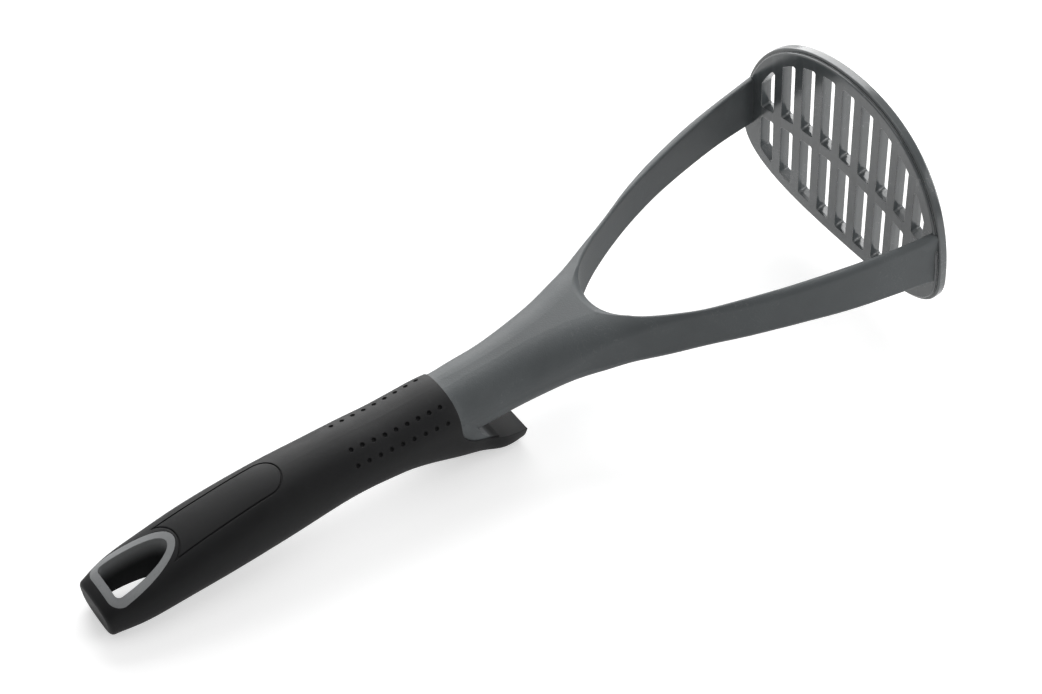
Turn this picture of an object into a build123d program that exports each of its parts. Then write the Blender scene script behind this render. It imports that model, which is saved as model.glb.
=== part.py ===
from build123d import *
import math
import os

os.makedirs("parts", exist_ok=True)

# The masher is built with its plate upright and laid down at the end. X is the width, Y runs from
# the grip to the plate, whose back face stands at Y = 0, and Z is up along the slots.

# Plate
slot_pitch = 9.3
slot_count = 9
slot_width = 5.5
slot_corner = 0.7
slot_draft = 3.0
rib_width = 4.6
rib_rise = 4.3
half_span = slot_pitch * slot_count / 2
plate_bow = 2.1
plate_half_width = 48.5
plate_top = 42.4
plate_bottom = -30.8
plate_widest = -8.0
crown_share = 0.60
shoulder_share = 0.66
cheek_share = 0.60
base_share = 0.67
back_layer = 1.0
front_layer = 3.0
layer_lap = 1.0
rim_step = 1.2
rim_round = 0.5
slot_margin = 4.8
plate_thickness = back_layer + front_layer
plate_middle = (plate_bow + plate_thickness) / 2
reach = 2 * plate_top

# Neck and arms
neck_length = 157.1
arm_span = 47.1
arm_top = 12.3
arm_flare = 1.6
arm_root = 1.2
quarter_share = 0.5523

# Their stations from the grip to the plate, as shares: distance behind the plate of the neck's
# length, half width of the span, then top, bottom and the width and height of the rounded corners
# of the arms' top, and flare of the arms' flare
neck_shares = [
    (1.000, 0.227, 1.016, -0.699, 0.764, 0.764, 0.0),
    (0.888, 0.236, 0.984, -0.715, 0.780, 0.764, 0.0),
    (0.770, 0.278, 1.041, -0.675, 0.878, 0.732, 0.0),
    (0.651, 0.355, 1.081, -0.530, 0.850, 0.500, 0.8),
    (0.533, 0.487, 1.016, -0.330, 0.300, 0.250, 1.3),
    (0.355, 0.737, 1.000, -0.254, 0.211, 0.211, 1.0),
    (0.178, 0.896, 1.000, -0.404, 0.146, 0.163, 1.0),
    (-0.008, 1.000, 1.000, -0.680, 0.146, 0.146, 0.7),
]

# Fork between the arms, its outline as shares of the arms' span and of its depth
fork_depth = 100.5
fork_shares = [(0.934, 0.0), (0.828, 0.278), (0.669, 0.555), (0.431, 0.833), (0.257, 0.955)]
fork_start_way = (-0.1, -1)
fork_round = 0.7
fork_roll = 3.6
fork_nose = 15.0

# Grip
grip_front = neck_length
grip_length = 121.0
grip_side = 12.3
grip_rise = 17.1
grip_wall = 2.6
butt_round = 1.6
seam_gap = 0.5

# Its stations from the tip of the finger rest to the butt, as shares: distance behind its front of
# its length, half width of its side, then widest line, top and bottom of its rise, and roundness
grip_shares = [
    (-0.216, 0.857, -1.088, 0.117, -1.425, 0.74, 0.84),
    (-0.100, 0.885, -0.702, 0.585, -1.215, 0.70, 0.84),
    (0.000, 0.905, 0.129, 0.754, -0.947, 0.66, 0.84),
    (0.162, 0.890, 0.234, 0.801, -0.465, 0.66, 0.78),
    (0.316, 0.890, 0.292, 0.924, -0.332, 0.67, 0.70),
    (0.508, 0.943, 0.310, 1.000, -0.384, 0.68, 0.68),
    (0.700, 1.000, 0.287, 0.901, -0.316, 0.70, 0.70),
    (0.854, 0.980, 0.222, 0.725, -0.263, 0.72, 0.72),
    (0.950, 0.860, 0.181, 0.620, -0.270, 0.74, 0.74),
    (1.002, 0.764, 0.140, 0.433, -0.257, 0.74, 0.74),
]

# Finger rest under the grip's front
rest_root = -4.9
rest_slope = 28.7
rest_length = 24.1
rest_lean = 0.45
rest_thickness = 12.0
rest_round = 9.4
lip_top = 3.0
lip_shoulder = 5.1
lip_reach = 13.0
lip_edge = 0.4
lip_pull = 5.0

# Hang hole, its places measured from the butt's end
hole_front = 26.0
hole_widest = 8.4
hole_end = 5.5
hole_half_width = 6.6
hole_nose_share = 0.68
hole_flank_share = 0.34
hole_corner = 1.8
ring_wall = 2.5

# Tongue-shaped field on the grip's top, outlined by a groove that rounds the ring at a small gap
field_front = 56.4
field_length = 39.2
field_half_width = 6.1
field_spread = 0.75
field_gap = 0.8
groove_width = 0.5
groove_depth = 0.35

# Tang and dimples, the ends of each row as shares of the grip's side, length and rise
tang_width = 11.0
tang_height = 8.0
tang_length = 48.0
tang_rise = 3.6
dimple_count = 9
dimple_radius = 0.75
upper_row_shares = [(0.537, 0.035, 0.649), (0.455, 0.289, 0.807)]
lower_row_shares = [(0.797, 0.035, 0.444), (0.740, 0.293, 0.655)]

# Cross-sections along each loft
neck_cuts = 20
grip_cuts = 20
core_cuts = 12
lip_cuts = 6
mesh_step = 0.02
settling_rounds = 8


def steps(first, last, count):
    # Evenly spaced places from first to last
    return [first + (last - first) * step / count for step in range(count + 1)]


def slope_at(places, values, index):
    # Slope of a smooth curve at one of its points, level where the curve turns
    if index in (0, len(places) - 1):
        index = max(index, 1)
        return (values[index] - values[index - 1]) / (places[index] - places[index - 1])
    before = (values[index] - values[index - 1]) / (places[index] - places[index - 1])
    after = (values[index + 1] - values[index]) / (places[index + 1] - places[index])
    if before * after <= 0:
        return 0
    return 2 * before * after / (before + after)


def station_at(stations, place):
    # The station at any place, each value on a smooth curve through those of the given stations
    places = [station[0] for station in stations]
    onward = math.copysign(1, places[-1] - places[0])
    index = sum(onward * (place - inner) >= 0 for inner in places[1:-1])
    gap = places[index + 1] - places[index]
    share = (place - places[index]) / gap
    found = [place]
    for values in list(zip(*stations))[1:]:
        start_slope = slope_at(places, values, index) * gap
        end_slope = slope_at(places, values, index + 1) * gap
        rise = values[index + 1] - values[index]
        bend = start_slope + end_slope - 2 * rise
        swell = rise - start_slope - bend
        found.append(values[index] + share * (start_slope + share * (swell + share * bend)))
    return found


def neck_section(station):
    # One cross-section of the neck and arms, a box with rounded corners and flared sides
    behind, half_width, top, bottom, corner_width, corner_height, flare = station
    flat = half_width - corner_width
    foot = half_width + flare
    upper = top - corner_height
    lower = bottom + corner_height
    pull_width = quarter_share * corner_width
    pull_height = quarter_share * corner_height
    with BuildSketch(Plane.XZ.offset(behind)) as section:
        with BuildLine():
            Line((0, top), (flat, top))
            Bezier(
                (flat, top),
                (flat + pull_width, top),
                (half_width, upper + pull_height),
                (half_width, upper),
            )
            Line((half_width, upper), (foot, lower))
            Bezier(
                (foot, lower),
                (foot, lower - pull_height),
                (foot - corner_width + pull_width, bottom),
                (foot - corner_width, bottom),
            )
            Line((foot - corner_width, bottom), (0, bottom))
            mirror(about=Plane.YZ)
        make_face()
    return section.sketch


def grip_section(station, inset=0):
    # One cross-section of the grip, four quarter arcs that meet at its widest line
    behind, half_width, widest, top, bottom, crown_roundness, belly_roundness = station
    side = half_width - inset
    turns = [(side, widest), (0, bottom + inset), (-side, widest), (0, top - inset)]
    with BuildSketch(Plane.XZ.offset(behind)) as section:
        with BuildLine():
            for start, end in zip(turns, turns[1:] + turns[:1]):
                corner = Vector(start[0] + end[0], end[1] if start[0] else start[1])
                roundness = crown_roundness if corner.Y > widest else belly_roundness
                pulls = [Vector(*point) * (1 - roundness) + corner * roundness for point in (start, end)]
                Bezier(start, *pulls, end)
        make_face()
    return section.sketch


def grip_sections(places, inset=0):
    # Cross-sections of the grip at several places, for a loft
    return [grip_section(station_at(grip_stations, place), inset).face() for place in places]


def draw_plate_outline(grow):
    # The plate's outline: a high crown, full shoulders and a flat base
    side = plate_half_width + grow
    crown = plate_top - plate_widest + grow
    base = plate_widest - plate_bottom + grow
    Bezier(
        (0, plate_widest + crown),
        (crown_share * side, plate_widest + crown),
        (side, plate_widest + shoulder_share * crown),
        (side, plate_widest),
    )
    Bezier(
        (side, plate_widest),
        (side, plate_widest - cheek_share * base),
        (base_share * side, plate_widest - base),
        (0, plate_widest - base),
    )
    mirror(about=Plane.YZ)


def plate_layer(back, front, grow):
    # One layer of the bowed plate, between two depths in front of its back face
    with BuildPart() as layer:
        with BuildSketch(Plane.XY.offset(-reach)):
            with Locations((0, plate_bow - bow_radius)):
                Circle(bow_radius + front)
                Circle(bow_radius + back, mode=Mode.SUBTRACT)
        extrude(amount=2 * reach)
        with BuildSketch(Plane.XZ):
            with BuildLine():
                draw_plate_outline(grow)
            make_face()
        extrude(amount=reach, both=True, mode=Mode.INTERSECT)
        rims = layer.edges().filter_by(Axis.Y, reverse=True)
        fillet(rims, rim_round)
    return layer.part


def hole_column(grow):
    # The hang hole, or its ring's outer wall, as a column right through the butt: a round nose,
    # full flanks and a flat end
    side = hole_half_width + grow
    nose = hole_front + grow - butt_end
    widest = hole_widest - butt_end
    end = hole_end - grow - butt_end
    with BuildPart() as column:
        with BuildSketch(Plane.XY.offset(-reach)):
            with BuildLine():
                Bezier(
                    (0, nose),
                    (hole_nose_share * side, nose),
                    (side, widest + hole_flank_share * (nose - widest)),
                    (side, widest),
                )
                FilletPolyline((side, widest), (side, end), (0, end), radius=hole_corner + grow)
                mirror(about=Plane.YZ)
            make_face()
        extrude(amount=2 * reach)
    return column.part


def row_points(row_shares, sight):
    # Places on the grip's skin along a row, found by looking at it from outside
    first, last = row_shares
    points = []
    for step in range(dimple_count):
        side, along, rise = (
            start + (end - start) * step / (dimple_count - 1) for start, end in zip(first, last)
        )
        line = Axis((side * grip_side, -grip_front - along * grip_length, rise * grip_rise), sight)
        hits = [hit for face in grip_skin.faces() for hit, _ in face.find_intersection_points(line)]
        points.append(max(hits, key=lambda hit: hit.dot(Vector(*sight))))
    return points


def resting_lean(points):
    # Slope at which the lowest point of the grip and the lowest ahead of it lie level
    slope = 0
    for _ in range(settling_rounds):
        lowest = [
            min(group, key=lambda point: point.Z + slope * point.Y)
            for group in (
                [point for point in points if point.Y < -grip_front],
                [point for point in points if point.Y >= -grip_front],
            )
        ]
        slope = (lowest[0].Z - lowest[1].Z) / (lowest[1].Y - lowest[0].Y)
    return math.degrees(math.atan(slope))


bow_radius = (half_span**2 + plate_bow**2) / (2 * plate_bow)
butt_end = grip_front + grip_length
neck_stations = [
    (behind * neck_length, side * arm_span, *(share * arm_top for share in heights), flare * arm_flare)
    for behind, side, *heights, flare in neck_shares
]
fork_points = [(side * arm_span, -behind * fork_depth) for side, behind in fork_shares]
grip_stations = [
    (grip_front + along * grip_length, side * grip_side, *(share * grip_rise for share in heights), *rounds)
    for along, side, *heights, rounds in ((*shares[:-2], shares[-2:]) for shares in grip_shares)
]
neck_places = steps(grip_front, -arm_root, neck_cuts)
grip_places = steps(grip_stations[0][0], butt_end, grip_cuts)
core_places = steps(grip_front, butt_end - hole_front + hole_half_width, core_cuts)
rib_radius = (half_span**2 + rib_rise**2) / (2 * rib_rise)
rib_half_turn = math.degrees(math.asin(plate_half_width / rib_radius))
neck_top = station_at(neck_stations, fork_depth + fork_roll)[2]
rest_fall = math.tan(math.radians(rest_slope))
rest_tip = (rest_length - grip_front, rest_root - rest_length * rest_fall)
rest_foot = (rest_tip[0] - rest_lean * rest_thickness, rest_tip[1] - rest_thickness)
field_nose = -grip_front - field_front
field_turn = (field_half_width, field_nose - field_half_width)
field_corner = (field_half_width + field_spread, field_nose - field_length)
field_tail = hole_front + ring_wall + field_gap - butt_end
roll_start = (-fork_depth, neck_top - fork_roll)
roll_end = (-fork_depth - fork_roll, neck_top)
lip_end = grip_front - lip_reach
lip_back = grip_front - lip_shoulder
lip_floor = rest_root - lip_reach * rest_fall
lip_places = steps(grip_stations[0][0], grip_front + grip_wall, lip_cuts)

# Openings of the plate, between the bars and above and below the rib
with BuildSketch(Plane.XZ.offset(-plate_middle)) as slots:
    with BuildLine():
        draw_plate_outline(-slot_margin)
    make_face()
    with GridLocations(slot_pitch, slot_pitch, slot_count + 1, 1):
        Rectangle(slot_pitch - slot_width, 2 * reach, mode=Mode.SUBTRACT)
    with BuildLine():
        CenterArc((0, rib_rise - rib_radius), rib_radius, 90 - rib_half_turn, 2 * rib_half_turn)
    trace(line_width=rib_width, mode=Mode.SUBTRACT)
    fillet(slots.vertices(), slot_corner)

# Shape of the grip before anything is cut from it
with BuildPart() as grip_blank:
    loft(grip_sections(grip_places))
    fillet(grip_blank.faces().sort_by(Axis.Y)[0].edges(), butt_round)
grip_skin = grip_blank.part

# Shape of the arms and neck before the fork is cut
with BuildPart() as neck_blank:
    loft([neck_section(station_at(neck_stations, place)).face() for place in neck_places])

# Saddle rolled over the fork's end, as if turned about the middle of its nose
with BuildPart() as fork_saddle:
    with BuildSketch(Plane.YZ):
        with BuildLine():
            TangentArc(roll_start, roll_end, tangent=(0, 1))
            Polyline(roll_end, (roll_end[0], reach), (roll_start[0], reach), roll_start)
        make_face()
    revolve(axis=Axis((0, fork_nose - fork_depth, 0), (0, 0, 1)))

# Lip that fills the notch between the neck and the finger rest, scooped along its front
with BuildPart() as lip:
    with BuildSketch(Plane.YZ.offset(-reach)):
        with BuildLine():
            FilletPolyline(
                (-grip_front, lip_top), (-grip_front, rest_root), (-lip_end, lip_floor), radius=rest_round
            )
            Line((-lip_end, lip_floor), (-lip_end, lip_floor + lip_edge))
            Bezier(
                (-lip_end, lip_floor + lip_edge),
                (-lip_end - lip_pull, lip_floor + lip_edge + lip_pull * rest_fall),
                (-lip_back, rest_root),
                (-lip_back, lip_top),
            )
            Line((-lip_back, lip_top), (-grip_front, lip_top))
        make_face()
    extrude(amount=2 * reach)
    loft(grip_sections(lip_places, seam_gap), mode=Mode.INTERSECT)

# Plate: a thin back layer and a wider front one that leaves a step all round, and its slots
with BuildPart() as plate_blank:
    add(plate_layer(0, back_layer + layer_lap, 0))
    add(plate_layer(back_layer, plate_thickness, rim_step))

with BuildPart() as mashing_plate:
    add(plate_blank.part)
    extrude(slots.sketch, amount=plate_thickness, dir=(0, 1, 0), mode=Mode.SUBTRACT, taper=-slot_draft)
    extrude(slots.sketch, amount=plate_thickness, dir=(0, -1, 0), mode=Mode.SUBTRACT, taper=-slot_draft)
mashing_plate.part.label = "mashing_plate"

# Neck: two arms with the fork cut between them, the neck, the lip and the tang
with BuildPart() as forked_neck:
    add(neck_blank.part)
    with BuildSketch(Plane.XY.offset(-reach)):
        with BuildLine():
            Line((0, 2 * arm_root), (fork_points[0][0], 2 * arm_root))
            Line((fork_points[0][0], 2 * arm_root), fork_points[0])
            Spline(*fork_points, (0, -fork_depth), tangents=[fork_start_way, (-1, 0)])
            mirror(about=Plane.YZ)
        make_face()
    extrude(amount=2 * reach, mode=Mode.SUBTRACT)
    fork_wall = forked_neck.faces().filter_by(GeomType.EXTRUSION)
    fillet(fork_wall.edges().filter_by(Axis.Z, reverse=True), fork_round)
    add(fork_saddle.part, mode=Mode.SUBTRACT)
    add(plate_blank.part, mode=Mode.SUBTRACT)
    add(lip.part)
    with Locations((0, -grip_front, tang_rise)):
        Box(tang_width, tang_length, tang_height, align=(Align.CENTER, Align.MAX, Align.CENTER))
forked_neck.part.label = "forked_neck"

# Core: a plug inside the grip that takes the tang, and the ring that lines the hang hole
with BuildPart() as core_blank:
    loft(grip_sections(core_places, grip_wall))
    add(hole_column(ring_wall))

with BuildPart() as handle_core:
    add(core_blank.part)
    add(grip_skin, mode=Mode.INTERSECT)
    add(hole_column(0), mode=Mode.SUBTRACT)
    with Locations((0, -grip_front, tang_rise)):
        Box(
            tang_width,
            tang_length,
            tang_height,
            align=(Align.CENTER, Align.MAX, Align.CENTER),
            mode=Mode.SUBTRACT,
        )
handle_core.part.label = "handle_core"

# Groove that outlines the field, cut to an even depth below the grip's skin
with BuildPart() as field_groove:
    with BuildSketch(Plane.XY.offset(tang_rise)):
        with BuildLine():
            TangentArc((0, field_tail), field_corner, tangent=(1, 0))
            Line(field_corner, field_turn)
            TangentArc(field_turn, (0, field_nose), tangent=(0, 1))
            mirror(about=Plane.YZ)
        trace(line_width=groove_width)
    extrude(amount=reach)
    loft(grip_sections(grip_places, groove_depth), mode=Mode.SUBTRACT)

# Grip: a soft sleeve over the core, with the finger rest under its front end and the dimples
with BuildPart() as soft_grip:
    with BuildSketch(Plane.YZ.offset(-reach)):
        with BuildLine():
            FilletPolyline((-grip_front, reach), (-grip_front, rest_root), rest_tip, radius=rest_round)
            Polyline(rest_tip, rest_foot, (-butt_end - reach, rest_foot[1]), (-butt_end - reach, reach))
            Line((-butt_end - reach, reach), (-grip_front, reach))
        make_face()
    extrude(amount=2 * reach)
    add(grip_skin, mode=Mode.INTERSECT)
    add(core_blank.part, mode=Mode.SUBTRACT)
    add(neck_blank.part, mode=Mode.SUBTRACT)
    add(field_groove.part, mode=Mode.SUBTRACT)
    for row_shares, sight in ((upper_row_shares, (0, 0, 1)), (lower_row_shares, (1, 0, 0))):
        dimples = row_points(row_shares, sight)
        with Locations(*dimples, *((-dimple.X, dimple.Y, dimple.Z) for dimple in dimples)):
            Sphere(dimple_radius, mode=Mode.SUBTRACT)
soft_grip.part.label = "soft_grip"

# The masher lies on the butt and the tip of its finger rest, centred over the floor
pieces = (mashing_plate, forked_neck, handle_core, soft_grip)
skin = [point for piece in pieces for point in piece.part.tessellate(mesh_step)[0]]
lean = resting_lean(skin)
lying = [point.rotate(Axis.X, lean) for point in skin]
middle = (min(point.Y for point in lying) + max(point.Y for point in lying)) / 2
floor = min(point.Z for point in lying)
for piece in pieces:
    piece.part.location = Location((0, -middle, -floor), (lean, 0, 0)) * piece.part.location
    export_step(piece.part, f"parts/{piece.part.label}.step")
print("leans by", lean, "moved by", -middle, -floor)
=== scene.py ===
import math

import bpy
import numpy as np
from mathutils import Euler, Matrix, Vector

# Potato masher, lying on its butt and finger rest: a grey nylon head and a black soft grip.
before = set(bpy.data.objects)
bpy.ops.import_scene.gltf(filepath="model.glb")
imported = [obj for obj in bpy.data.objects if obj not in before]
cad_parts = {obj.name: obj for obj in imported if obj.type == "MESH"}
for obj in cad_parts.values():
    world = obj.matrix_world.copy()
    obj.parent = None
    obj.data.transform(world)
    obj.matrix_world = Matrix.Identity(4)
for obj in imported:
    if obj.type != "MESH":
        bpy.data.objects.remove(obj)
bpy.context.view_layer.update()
scene = bpy.context.scene
scene.view_settings.view_transform = "Standard"
print("frame loaded:", sorted(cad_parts))


# Small helpers for node trees

def addNode(tree, kind, place=(0, 0), **settings):
    node = tree.nodes.new(kind)
    node.location = place
    for name, value in settings.items():
        setattr(node, name, value)
    return node


def setInputs(node, **values):
    for name, value in values.items():
        node.inputs[name.replace("_", " ")].default_value = value


def newGroup(name, inputs, outputs):
    # A shader node group with named sockets, and its two end nodes
    group = bpy.data.node_groups.new(name, "ShaderNodeTree")
    for label, kind, value in inputs:
        socket = group.interface.new_socket(name=label, in_out="INPUT", socket_type=kind)
        if value is not None:
            socket.default_value = value
    for label, kind in outputs:
        group.interface.new_socket(name=label, in_out="OUTPUT", socket_type=kind)
    start = addNode(group, "NodeGroupInput", (-900, 0))
    end = addNode(group, "NodeGroupOutput", (900, 0))
    return group, start, end


def math2(tree, operation, first, second, place=(0, 0), clamp=False):
    # One Math node; first and second are sockets or numbers
    node = addNode(tree, "ShaderNodeMath", place, operation=operation, use_clamp=clamp)
    for index, value in enumerate((first, second)):
        if isinstance(value, bpy.types.NodeSocket):
            tree.links.new(value, node.inputs[index])
        elif value is not None:
            node.inputs[index].default_value = value
    return node.outputs[0]


grainLook = {
    "sparkDetail": 2.0,
    "sparkRough": 0.6,
    "mottleDetail": 4.0,
    "mottleRough": 0.55,
    "mottleTwist": 0.8,
    "slowShare": 0.35,  # how much of the mottling goes into the height
    "scuffScale": 210.0,
    "scuffTwist": 46.0,
    "scuffDetail": 3.0,
    "scuffDetailScale": 0.6,
    "scuffThin": 0.985,  # nearer to 1 is finer
    "scuffPatch": 0.56,  # higher is rarer
}


# Moulded grain: fine spark texture, slow flow mottling and a few faint hairline scuffs
def makeMouldGrain(look):
    group, start, end = newGroup(
        "mouldGrain",
        [
            ("Vector", "NodeSocketVector", None),
            ("Grain Scale", "NodeSocketFloat", 2600.0),
            ("Mottle Scale", "NodeSocketFloat", 60.0),
            ("Scuff Amount", "NodeSocketFloat", 0.3),
        ],
        [
            ("Tone", "NodeSocketFloat"),
            ("Wear", "NodeSocketFloat"),
            ("Height", "NodeSocketFloat"),
        ],
    )
    link = group.links.new
    grain = addNode(group, "ShaderNodeTexNoise", (-600, 200))
    setInputs(grain, Detail=look["sparkDetail"], Roughness=look["sparkRough"])
    link(start.outputs["Vector"], grain.inputs["Vector"])
    link(start.outputs["Grain Scale"], grain.inputs["Scale"])
    mottle = addNode(group, "ShaderNodeTexNoise", (-600, -60))
    setInputs(mottle, Detail=look["mottleDetail"], Roughness=look["mottleRough"])
    setInputs(mottle, Distortion=look["mottleTwist"])
    link(start.outputs["Vector"], mottle.inputs["Vector"])
    link(start.outputs["Mottle Scale"], mottle.inputs["Scale"])
    scuff = addNode(group, "ShaderNodeTexWave", (-600, -320))
    scuff.wave_type = "BANDS"
    scuff.bands_direction = "DIAGONAL"
    setInputs(scuff, Scale=look["scuffScale"], Distortion=look["scuffTwist"])
    setInputs(scuff, Detail=look["scuffDetail"], Detail_Scale=look["scuffDetailScale"])
    link(start.outputs["Vector"], scuff.inputs["Vector"])
    thin = math2(group, "GREATER_THAN", scuff.outputs["Fac"], look["scuffThin"], (-380, -320))
    patch = math2(group, "GREATER_THAN", mottle.outputs["Fac"], look["scuffPatch"], (-380, -140))
    scuffed = math2(group, "MULTIPLY", thin, patch, (-180, -260))
    wear = math2(group, "MULTIPLY", scuffed, start.outputs["Scuff Amount"], (20, -260))
    link(mottle.outputs["Fac"], end.inputs["Tone"])
    link(wear, end.inputs["Wear"])
    slow = math2(group, "MULTIPLY", mottle.outputs["Fac"], look["slowShare"], (-180, 40))
    height = math2(group, "ADD", grain.outputs["Fac"], slow, (20, 120))
    link(height, end.inputs["Height"])
    return group


# Pointiness of the surface at which edge wear and hollow darkening begin and are full
wearLook = {"edge": (0.52, 0.62), "hollow": (0.48, 0.40)}


# Worn edges: convex edges catch the light, hollows come out a little darker
def makeEdgeWear(look):
    group, start, end = newGroup(
        "edgeWear",
        [
            ("Amount", "NodeSocketFloat", 0.5),
            ("Tone", "NodeSocketFloat", 0.5),
        ],
        [("Edge", "NodeSocketFloat"), ("Hollow", "NodeSocketFloat")],
    )
    link = group.links.new
    geometry = addNode(group, "ShaderNodeNewGeometry", (-700, 0))
    convex = addNode(group, "ShaderNodeMapRange", (-450, 120))
    setInputs(convex, From_Min=look["edge"][0], From_Max=look["edge"][1])
    link(geometry.outputs["Pointiness"], convex.inputs["Value"])
    hollow = addNode(group, "ShaderNodeMapRange", (-450, -160))
    setInputs(hollow, From_Min=look["hollow"][0], From_Max=look["hollow"][1])
    link(geometry.outputs["Pointiness"], hollow.inputs["Value"])
    broken = math2(group, "MULTIPLY", convex.outputs["Result"], start.outputs["Tone"], (-200, 120))
    edge = math2(group, "MULTIPLY", broken, start.outputs["Amount"], (0, 120), clamp=True)
    inHollow = hollow.outputs["Result"]
    hollowDarkening = math2(group, "MULTIPLY", inHollow, start.outputs["Amount"], (0, -160), clamp=True)
    link(edge, end.inputs["Edge"])
    link(hollowDarkening, end.inputs["Hollow"])
    return group


# Distance fade: how far past a plane a point lies, softly from 0 at near to 1 at far
def makePlaneFade():
    group, start, end = newGroup(
        "planeFade",
        [
            ("Vector", "NodeSocketVector", None),
            ("Point", "NodeSocketVector", None),
            ("Direction", "NodeSocketVector", None),
            ("Near", "NodeSocketFloat", 0.0),
            ("Far", "NodeSocketFloat", 0.001),
        ],
        [("Fade", "NodeSocketFloat")],
    )
    link = group.links.new
    away = addNode(group, "ShaderNodeVectorMath", (-600, 100), operation="SUBTRACT")
    link(start.outputs["Vector"], away.inputs[0])
    link(start.outputs["Point"], away.inputs[1])
    along = addNode(group, "ShaderNodeVectorMath", (-350, 100), operation="DOT_PRODUCT")
    link(away.outputs["Vector"], along.inputs[0])
    link(start.outputs["Direction"], along.inputs[1])
    step = addNode(group, "ShaderNodeMapRange", (-100, 100), interpolation_type="SMOOTHSTEP")
    link(along.outputs["Value"], step.inputs["Value"])
    link(start.outputs["Near"], step.inputs["From Min"])
    link(start.outputs["Far"], step.inputs["From Max"])
    link(step.outputs["Result"], end.inputs["Fade"])
    return group


mouldGrain = makeMouldGrain(grainLook)
edgeWear = makeEdgeWear(wearLook)
planeFade = makePlaneFade()
toneSpan = (0.3, 0.7)  # the mottling from its darkest to its palest
edgeSamples = 6


def makeMouldedPlastic(name, look):
    # A moulded plastic: its colour and gloss drift with the mottling, edges pale with wear and a painted
    # highlight line, chosen places get painted shade, grain is bump
    material = bpy.data.materials.new(name)
    material.use_nodes = True
    tree = material.node_tree
    link = tree.links.new
    shader = tree.nodes["Principled BSDF"]
    coordinates = addNode(tree, "ShaderNodeTexCoord", (-1300, 0))
    grain = addNode(tree, "ShaderNodeGroup", (-1050, 0), node_tree=mouldGrain)
    setInputs(
        grain,
        Grain_Scale=look["grainScale"],
        Mottle_Scale=look["mottleScale"],
        Scuff_Amount=look["scuffAmount"],
    )
    link(coordinates.outputs["Object"], grain.inputs["Vector"])
    edges = addNode(tree, "ShaderNodeGroup", (-800, -260), node_tree=edgeWear)
    setInputs(edges, Amount=look["edgeAmount"])
    link(grain.outputs["Tone"], edges.inputs["Tone"])
    ramp = addNode(tree, "ShaderNodeValToRGB", (-800, 220))
    for stop, position, colour in zip(ramp.color_ramp.elements, toneSpan, ("darkColour", "lightColour")):
        stop.position = position
        stop.color = (*look[colour], 1)
    link(grain.outputs["Tone"], ramp.inputs["Fac"])
    # Painted highlight: a pale line is painted along each crisp moulded edge, where the rounded normal
    # leaves the flat one
    rounded = addNode(tree, "ShaderNodeBevel", (-1050, -420), samples=edgeSamples)
    setInputs(rounded, Radius=look["edgeRound"])
    flat = addNode(tree, "ShaderNodeNewGeometry", (-1050, -620))
    bend = addNode(tree, "ShaderNodeVectorMath", (-850, -480), operation="DOT_PRODUCT")
    link(rounded.outputs["Normal"], bend.inputs[0])
    link(flat.outputs["Normal"], bend.inputs[1])
    turned = math2(tree, "SUBTRACT", 1.0, bend.outputs["Value"], (-680, -480))
    paintedEdgeHighlight = math2(tree, "MULTIPLY", turned, look["paintedEdgeHighlight"], (-520, -480), clamp=True)
    wearAndHighlight = math2(tree, "ADD", edges.outputs["Edge"], grain.outputs["Wear"], (-560, -120))
    wearAndHighlight = math2(tree, "ADD", wearAndHighlight, paintedEdgeHighlight, (-420, 20), clamp=True)
    # Wear and the painted edge highlight both mix in the pale worn colour
    paler = addNode(tree, "ShaderNodeMix", (-360, 160), data_type="RGBA")
    paler.inputs["B"].default_value = (*look["wearAndHighlightColour"], 1)
    link(wearAndHighlight, paler.inputs["Factor"])
    link(ramp.outputs["Color"], paler.inputs["A"])
    darker = addNode(tree, "ShaderNodeMix", (-180, 160), data_type="RGBA")
    darker.inputs["B"].default_value = (*look["hollowColour"], 1)
    link(edges.outputs["Hollow"], darker.inputs["Factor"])
    link(paler.outputs["Result"], darker.inputs["A"])
    finish = darker.outputs["Result"]
    rough = addNode(tree, "ShaderNodeMapRange", (-360, -120))
    setInputs(rough, From_Min=toneSpan[0], From_Max=toneSpan[1])
    setInputs(rough, To_Min=look["roughLow"], To_Max=look["roughHigh"])
    link(grain.outputs["Tone"], rough.inputs["Value"])
    finishRough = rough.outputs["Result"]
    if look["paintedShadeFades"]:
        # Painted shade: places that hardly any light reaches are painted dark and dull where all of
        # their fades meet
        paintedShadeMask = None
        for row, (point, direction, near, far) in enumerate(look["paintedShadeFades"]):
            height = 520 + 220 * row
            fade = addNode(tree, "ShaderNodeGroup", (-560, height), node_tree=planeFade)
            setInputs(fade, Point=point, Direction=direction, Near=near, Far=far)
            link(coordinates.outputs["Object"], fade.inputs["Vector"])
            reach = fade.outputs["Fade"]
            paintedShadeMask = reach if paintedShadeMask is None else math2(tree, "MULTIPLY", paintedShadeMask, reach, (-280, height))
        shaded = addNode(tree, "ShaderNodeMix", (0, 400), data_type="RGBA")
        shaded.inputs["B"].default_value = (*look["paintedShadeColour"], 1)
        link(paintedShadeMask, shaded.inputs["Factor"])
        link(finish, shaded.inputs["A"])
        finish = shaded.outputs["Result"]
        duller = addNode(tree, "ShaderNodeMix", (0, -60))
        setInputs(duller, B=look["paintedShadeRough"])
        link(paintedShadeMask, duller.inputs["Factor"])
        link(finishRough, duller.inputs["A"])
        finishRough = duller.outputs["Result"]
    link(finish, shader.inputs["Base Color"])
    link(finishRough, shader.inputs["Roughness"])
    bump = addNode(tree, "ShaderNodeBump", (-180, -320))
    link(rounded.outputs["Normal"], bump.inputs["Normal"])
    setInputs(bump, Strength=look["bumpStrength"], Distance=look["bumpDepth"])
    link(grain.outputs["Height"], bump.inputs["Height"])
    link(bump.outputs["Normal"], shader.inputs["Normal"])
    setInputs(shader, Specular_IOR_Level=look["specular"])
    return material
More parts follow.
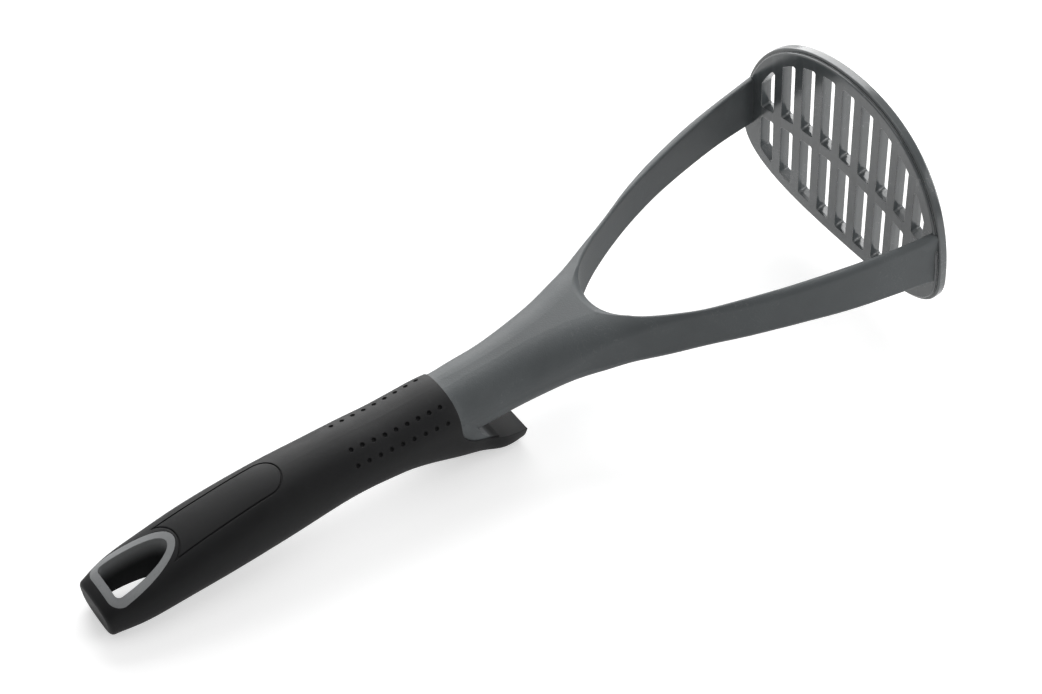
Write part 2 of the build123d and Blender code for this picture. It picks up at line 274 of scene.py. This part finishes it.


# Painted shade fades are rows of a point, a direction, and the near and far distance along it in metres
nylonLook = {
    "darkColour": (0.058, 0.065, 0.068),
    "lightColour": (0.074, 0.083, 0.087),
    "wearAndHighlightColour": (0.15, 0.16, 0.165),
    "hollowColour": (0.025, 0.027, 0.029),
    "grainScale": 2000.0,
    "mottleScale": 45.0,
    "scuffAmount": 0.25,
    "edgeAmount": 0.4,
    "roughLow": 0.5,
    "roughHigh": 0.58,
    "bumpStrength": 0.3,
    "bumpDepth": 0.0002,
    "edgeRound": 0.00022,
    # Strength of the painted highlight line along crisp edges
    "paintedEdgeHighlight": 1.0,
    "specular": 0.5,
    # Painted shade: the colour and roughness painted where the fades below meet
    "paintedShadeColour": (0.006, 0.0063, 0.0068),
    "paintedShadeRough": 0.9,
    "paintedShadeFades": [
        # Painted shade on the lip over the finger rest, towards its tip and under the neck
        ((0.0, -0.0081, 0.0100), (0.0, 0.9329, -0.3595), -0.0065, -0.0015),
        ((0.0, -0.0114, 0.0128), (0.0, 0.1326, -0.9912), 0.0002, 0.0008),
    ],
}
plateLook = dict(
    nylonLook,
    # Painted highlight: a pale colour and a strong edge line paint bright lines along the plate's crisp
    # edges
    wearAndHighlightColour=(0.3, 0.31, 0.315),
    grainScale=2600.0,
    bumpStrength=0.12,
    edgeRound=0.0003,
    paintedEdgeHighlight=6.0,
    roughLow=0.12,
    roughHigh=0.18,
    specular=0.85,
    paintedShadeFades=[],
)
# Painted light: the ring is the head's grey nylon painted paler, for the light that falls on its upward
# face
coreLook = dict(
    nylonLook,
    lightColour=(0.27, 0.277, 0.282),
    darkColour=(0.235, 0.241, 0.245),
    paintedEdgeHighlight=0.0,
    # Painted shade down the hang hole: its wall is painted dark with depth below the ring's face
    paintedShadeColour=(0.012, 0.0125, 0.0135),
    paintedShadeFades=[((0.0, -0.1184, 0.0213), (0.0, 0.2968, -0.9550), 0.0015, 0.009)],  # down the hang hole
    specular=0.3,
)
gripLook = {
    "darkColour": (0.0042, 0.0044, 0.0048),
    "lightColour": (0.0065, 0.0067, 0.0074),
    "wearAndHighlightColour": (0.025, 0.025, 0.027),
    "hollowColour": (0.003, 0.003, 0.003),
    "grainScale": 3600.0,
    "mottleScale": 70.0,
    "scuffAmount": 0.12,
    "edgeAmount": 0.3,
    "roughLow": 0.48,
    "roughHigh": 0.56,
    "bumpStrength": 0.2,
    "bumpDepth": 0.0002,
    "edgeRound": 0.0004,
    "paintedEdgeHighlight": 0.0,
    "specular": 0.2,
    "paintedShadeFades": [],
}
nylon = makeMouldedPlastic("nylon", nylonLook)
plateNylon = makeMouldedPlastic("plateNylon", plateLook)
ringPlastic = makeMouldedPlastic("ringPlastic", coreLook)
softTouch = makeMouldedPlastic("softTouch", gripLook)
print("materials made")


def dress(nodeName, material):
    # A CAD node keeps its mesh and takes one material
    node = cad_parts[nodeName]
    node.data.materials.clear()
    node.data.materials.append(material)
    return node


dress("mashing_plate", plateNylon)
dress("forked_neck", nylon)
dress("handle_core", ringPlastic)
dress("soft_grip", softTouch)
print("pieces dressed")


floorLook = {
    "half": 1.6,
    "corners": 9,  # along each side of the grid
    "colour": (0.8, 0.8, 0.8),
    "glow": 0.48,  # to the camera, near the masher
    "farGlow": 1.0,
    "fade": (0.35, 0.9),  # distances between which the glow rises
    "mirrorGlow": 0.22,
}


def addMirrorRays(tree, path, place):
    # 1 for the rays that gloss and clear pieces send out
    glossy = path.outputs["Is Glossy Ray"]
    through = path.outputs["Is Transmission Ray"]
    return math2(tree, "MAXIMUM", glossy, through, place)


def makeFloor(look):
    # A flat square grid; to the camera it glows just enough to read as white, and keeps the shadow
    count = look["corners"]
    steps = np.linspace(-look["half"], look["half"], count)
    alongX, alongY = np.meshgrid(steps, steps, indexing="ij")
    points = np.stack([alongX, alongY, np.zeros_like(alongX)], axis=-1).reshape(-1, 3)
    index = np.arange(count * count).reshape(count, count)
    sides = [index[:-1, :-1], index[1:, :-1], index[1:, 1:], index[:-1, 1:]]
    quads = np.stack(sides, axis=-1).reshape(-1, 4)
    mesh = bpy.data.meshes.new("floor")
    mesh.from_pydata(points.tolist(), [], quads.tolist())
    floor = bpy.data.objects.new("floor", mesh)
    scene.collection.objects.link(floor)
    material = bpy.data.materials.new("whiteFloor")
    material.use_nodes = True
    tree = material.node_tree
    tree.nodes.clear()
    out = addNode(tree, "ShaderNodeOutputMaterial", (600, 0))
    matt = addNode(tree, "ShaderNodeBsdfDiffuse", (0, 120))
    setInputs(matt, Color=(*look["colour"], 1))
    glow = addNode(tree, "ShaderNodeEmission", (0, -80))
    path = addNode(tree, "ShaderNodeLightPath", (-600, -80))
    spot = addNode(tree, "ShaderNodeTexCoord", (-1000, 200))
    radius = addNode(tree, "ShaderNodeVectorMath", (-800, 200), operation="LENGTH")
    tree.links.new(spot.outputs["Object"], radius.inputs[0])
    fade = addNode(tree, "ShaderNodeMapRange", (-620, 200), interpolation_type="SMOOTHSTEP")
    setInputs(fade, From_Min=look["fade"][0], From_Max=look["fade"][1])
    setInputs(fade, To_Min=look["glow"], To_Max=look["farGlow"])
    tree.links.new(radius.outputs["Value"], fade.inputs["Value"])
    seen = math2(tree, "MULTIPLY", path.outputs["Is Camera Ray"], fade.outputs["Result"], (-400, 0))
    mirrored = addMirrorRays(tree, path, (-400, -160))
    mirrored = math2(tree, "MULTIPLY", mirrored, look["mirrorGlow"], (-250, -160))
    strength = math2(tree, "ADD", seen, mirrored, (-120, -80))
    tree.links.new(strength, glow.inputs["Strength"])
    both = addNode(tree, "ShaderNodeAddShader", (300, 0))
    tree.links.new(matt.outputs[0], both.inputs[0])
    tree.links.new(glow.outputs[0], both.inputs[1])
    tree.links.new(both.outputs[0], out.inputs["Surface"])
    mesh.materials.append(material)
    return floor


worldLook = {
    "fill": 0.33,
    "bright": (-0.83, 0.5, 0.25),  # the side where reflections are brightest
    "spread": (-0.2, 0.9),
    "low": 0.5,
    "high": 1.2,
}


def makeWorld(look):
    # White to the camera; reflections and fill see a studio that is brighter beyond the masher
    world = bpy.data.worlds.new("studio")
    scene.world = world
    world.use_nodes = True
    tree = world.node_tree
    background = tree.nodes["Background"]
    setInputs(background, Color=(1, 1, 1, 1))
    path = addNode(tree, "ShaderNodeLightPath", (-900, 0))
    direction = addNode(tree, "ShaderNodeTexCoord", (-1100, -300))
    toward = addNode(tree, "ShaderNodeVectorMath", (-900, -300), operation="DOT_PRODUCT")
    toward.inputs[1].default_value = Vector(look["bright"]).normalized()
    tree.links.new(direction.outputs["Generated"], toward.inputs[0])
    tone = addNode(tree, "ShaderNodeMapRange", (-700, -300), interpolation_type="SMOOTHSTEP")
    setInputs(tone, From_Min=look["spread"][0], From_Max=look["spread"][1])
    setInputs(tone, To_Min=look["low"], To_Max=look["high"])
    tree.links.new(toward.outputs["Value"], tone.inputs["Value"])
    mirrored = addMirrorRays(tree, path, (-700, 0))
    change = math2(tree, "SUBTRACT", tone.outputs["Result"], look["fill"], (-500, -200))
    change = math2(tree, "MULTIPLY", change, mirrored, (-350, -100))
    strength = math2(tree, "ADD", change, look["fill"], (-200, -100))
    strength = math2(tree, "MAXIMUM", strength, path.outputs["Is Camera Ray"], (-80, 0))
    tree.links.new(strength, background.inputs["Strength"])


lampLooks = {
    "keyBox": {"place": (-0.82, 0.42, 0.56), "aim": (0.0, 0.0, 0.03), "size": (1.0, 1.1), "power": 13.5},
    "overheadBox": {"place": (0.0, 0.0, 1.1), "aim": (0.0, 0.0, 0.03), "size": (0.7, 0.7), "power": 1.6},
    "farBox": {"place": (0.5, 0.8, 0.32), "aim": (0.0, 0.05, 0.03), "size": (0.6, 0.5), "power": 4.2},
}


def makeLamps(looks):
    # Plain soft boxes, each turned to what it aims at
    for name, look in looks.items():
        lamp = bpy.data.lights.new(name, "AREA")
        lamp.shape = "RECTANGLE"
        lamp.size, lamp.size_y = look["size"]
        lamp.energy = look["power"]
        holder = bpy.data.objects.new(name, lamp)
        scene.collection.objects.link(holder)
        holder.location = look["place"]
        toward = Vector(look["aim"]) - Vector(look["place"])
        holder.rotation_euler = toward.to_track_quat("-Z", "Y").to_euler()


cameraLook = {
    "place": (0.400471, -0.310203, 0.554710),
    "turn": (44.2650, -2.9266, 54.6929),
    "lens": 82.137,
    "sensor": 36.0,
    "clip": (0.05, 20.0),
}


def makeCamera(look):
    lens = bpy.data.cameras.new("camera")
    lens.sensor_fit = "HORIZONTAL"
    lens.sensor_width = look["sensor"]
    lens.lens = look["lens"]
    lens.clip_start, lens.clip_end = look["clip"]
    camera = bpy.data.objects.new("camera", lens)
    scene.collection.objects.link(camera)
    camera.location = look["place"]
    camera.rotation_euler = Euler([math.radians(angle) for angle in look["turn"]], "XYZ")
    scene.camera = camera


makeFloor(floorLook)
makeWorld(worldLook)
makeLamps(lampLooks)
makeCamera(cameraLook)
print("studio made")
